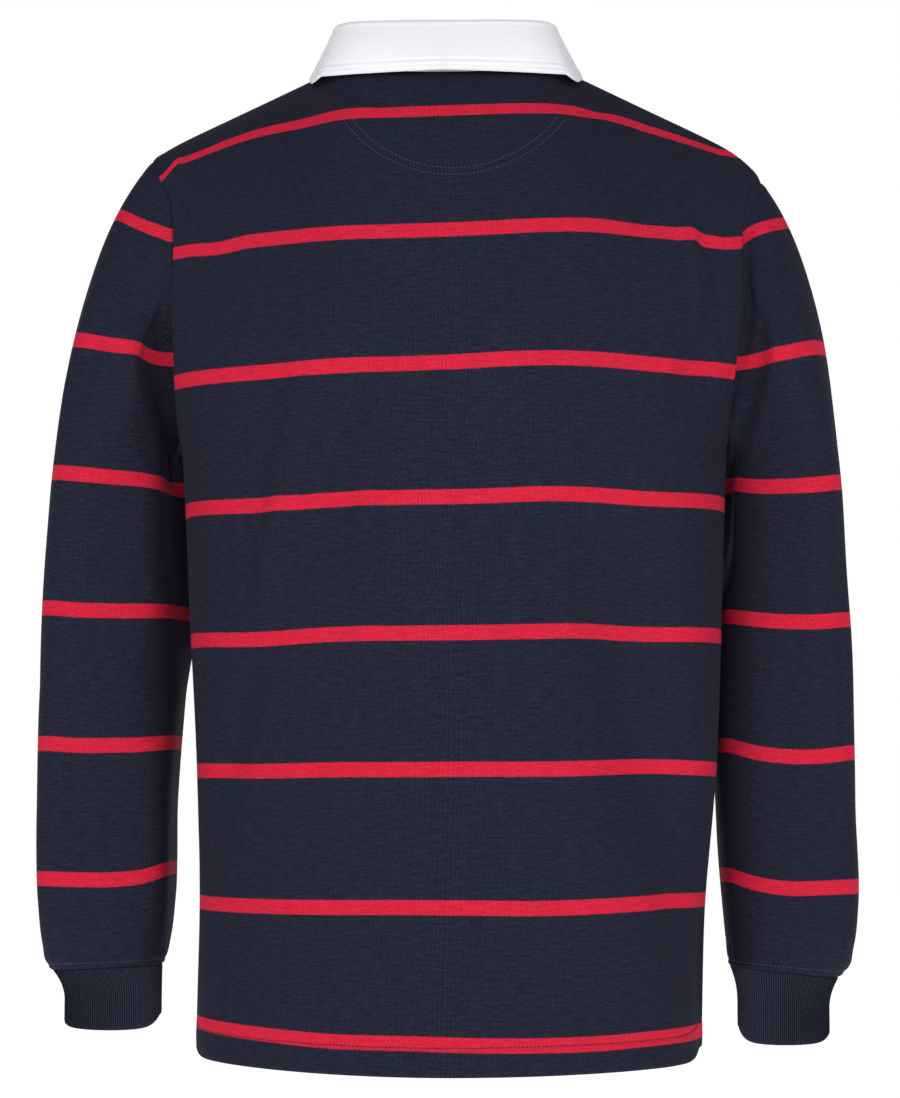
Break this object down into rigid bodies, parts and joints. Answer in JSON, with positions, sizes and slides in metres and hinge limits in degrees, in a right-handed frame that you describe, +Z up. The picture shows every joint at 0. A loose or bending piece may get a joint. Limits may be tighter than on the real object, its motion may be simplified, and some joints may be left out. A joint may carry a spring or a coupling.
{
  "type": "rugby shirt",
  "caption": "Long-sleeved rugby shirt in its worn, hollow form, with a white fold-over collar, a buttoned placket and ribbed cuffs.",
  "frame": {"origin": "between the shoulders at the base of the neck, where the wearer carries the shirt", "axes": "+Z up, the front faces -Y, the wearer's left is +X"},
  "size_m": [0.6429, 0.2785, 0.8016],
  "materials": {
    "navy_jersey": "matt heavy cotton jersey",
    "navy_rib": "matt fine rib knit",
    "white_twill": "matt cotton twill",
    "white_button": "smooth rubbery plastic"
  },
  "bodies": {
    "root": {"back": "navy_jersey", "front": "navy_jersey", "sleeve_left": "navy_jersey", "sleeve_right": "navy_jersey", "neck_patch": "navy_jersey", "cuff_left": "navy_rib", "cuff_right": "navy_rib", "collar_stand": "white_twill", "collar_fall": "white_twill", "placket": "white_twill", "button_1": "white_button", "button_2": "white_button", "button_3": "white_button"}
  },
  "joints": []
}
